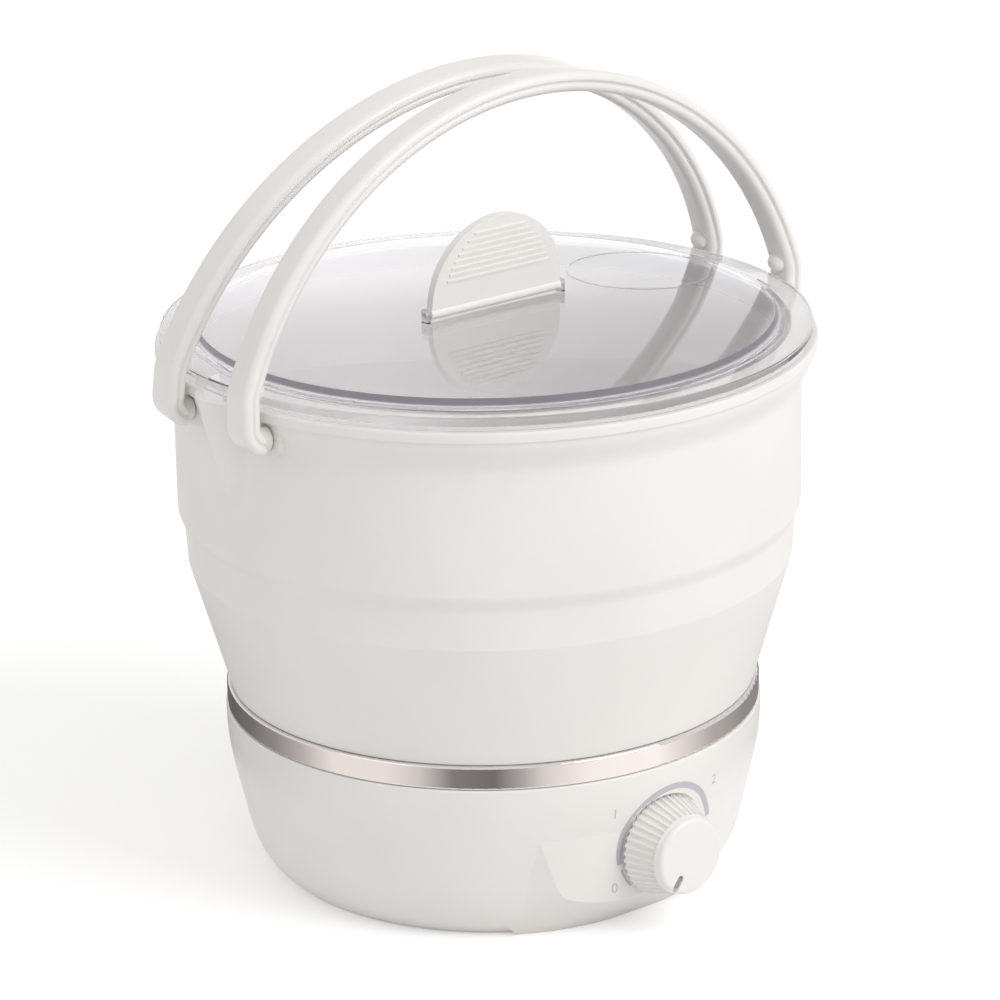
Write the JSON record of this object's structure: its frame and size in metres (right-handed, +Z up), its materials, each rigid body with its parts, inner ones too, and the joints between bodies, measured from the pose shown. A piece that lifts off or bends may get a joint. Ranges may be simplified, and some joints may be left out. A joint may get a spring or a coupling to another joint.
{
  "type": "foldable electric cooking pot",
  "caption": "Round electric cooking pot with a folding soft wall on a heated base, a clear lift-off lid with a folding tab, a dial and two swinging carrying handles.",
  "frame": {"origin": "centre of the footprint on the table, under the middle of the pot", "axes": "+Z up; -Y is the front with the dial; the handle pivots lie along X and the pouring lip is at -X"},
  "size_m": [0.2012, 0.1884, 0.237],
  "materials": {
    "shell_plastic": "satin moulded",
    "wall_silicone": "matt soft",
    "foot_rubber": "matt",
    "bright_trim": "polished",
    "plate_steel": "brushed",
    "fastener_steel": "plain",
    "spreader_aluminium": "cast",
    "dark_plastic": "moulded",
    "sleeve_white": "woven sleeve",
    "terminal_brass": "plain",
    "pointer_grey": "inlaid",
    "wire_brown": "insulation",
    "wire_blue": "insulation",
    "wire_green": "insulation",
    "clear_plastic": "clear polished"
  },
  "bodies": {
    "base": {"base_housing": "shell_plastic", "bottom_cover": "shell_plastic", "feet": "foot_rubber", "cover_screws": "fastener_steel", "trim_ring": "bright_trim", "plate_gasket": "foot_rubber", "hot_plate": "plate_steel", "wall_clamp_ring": "plate_steel", "clamp_screws": "fastener_steel", "heat_spreader": "spreader_aluminium", "heating_element": "fastener_steel", "limit_thermostat": "dark_plastic", "thermostat_strap": "fastener_steel", "thermal_fuse": "sleeve_white", "control_body": "dark_plastic", "control_nut": "terminal_brass", "power_inlet": "dark_plastic", "inlet_pins": "terminal_brass", "inlet_screws": "fastener_steel", "live_lead": "wire_brown", "switched_lead": "wire_brown", "fused_lead": "wire_brown", "neutral_lead": "wire_blue", "earth_lead": "wire_green", "lower_wall": "wall_silicone"},
    "dial": {"knob": "shell_plastic", "knob_pointer": "pointer_grey", "control_shaft": "terminal_brass"},
    "rim": {"upper_wall": "wall_silicone", "rim_frame": "shell_plastic", "handle_pins": "fastener_steel"},
    "front_bail": {"front_handle": "shell_plastic"},
    "rear_bail": {"rear_handle": "shell_plastic"},
    "lid": {"lid_panel": "clear_plastic", "tab_pin": "fastener_steel"},
    "tab": {"lid_tab": "shell_plastic"}
  },
  "joints": [
    {"name": "wall_fold", "type": "slide", "parent": "base", "child": "rim", "axis": [0, 0, -1], "range_m": [0, 0.048], "deforming": ["lower_wall"]},
    {"name": "knob_turn", "type": "hinge", "parent": "base", "child": "dial", "pos_m": [0, -0.0764, 0.0247], "axis": [0, 1, 0], "range_deg": [0, 197]},
    {"name": "front_handle_swing", "type": "hinge", "parent": "rim", "child": "front_bail", "pos_m": [0, -0.0183, 0.1505], "axis": [1, 0, 0], "range_deg": [0, 102]},
    {"name": "rear_handle_swing", "type": "hinge", "parent": "rim", "child": "rear_bail", "pos_m": [0, 0.0183, 0.1505], "axis": [-1, 0, 0], "range_deg": [0, 102]},
    {"name": "lid_lift", "type": "slide", "parent": "rim", "child": "lid", "axis": [0, 0, 1], "range_m": [0, 0.0178]},
    {"name": "tab_flip", "type": "hinge", "parent": "lid", "child": "tab", "pos_m": [0, -0.0037, 0.1685], "axis": [-1, 0, 0], "range_deg": [0, 95]}
  ],
  "couplings": [
    {"joint": "rear_handle_swing", "follows": "front_handle_swing", "ratio": 1},
    {"joint": "lid_lift", "follows": "front_handle_swing", "m_per_rad": 0.01}
  ]
}
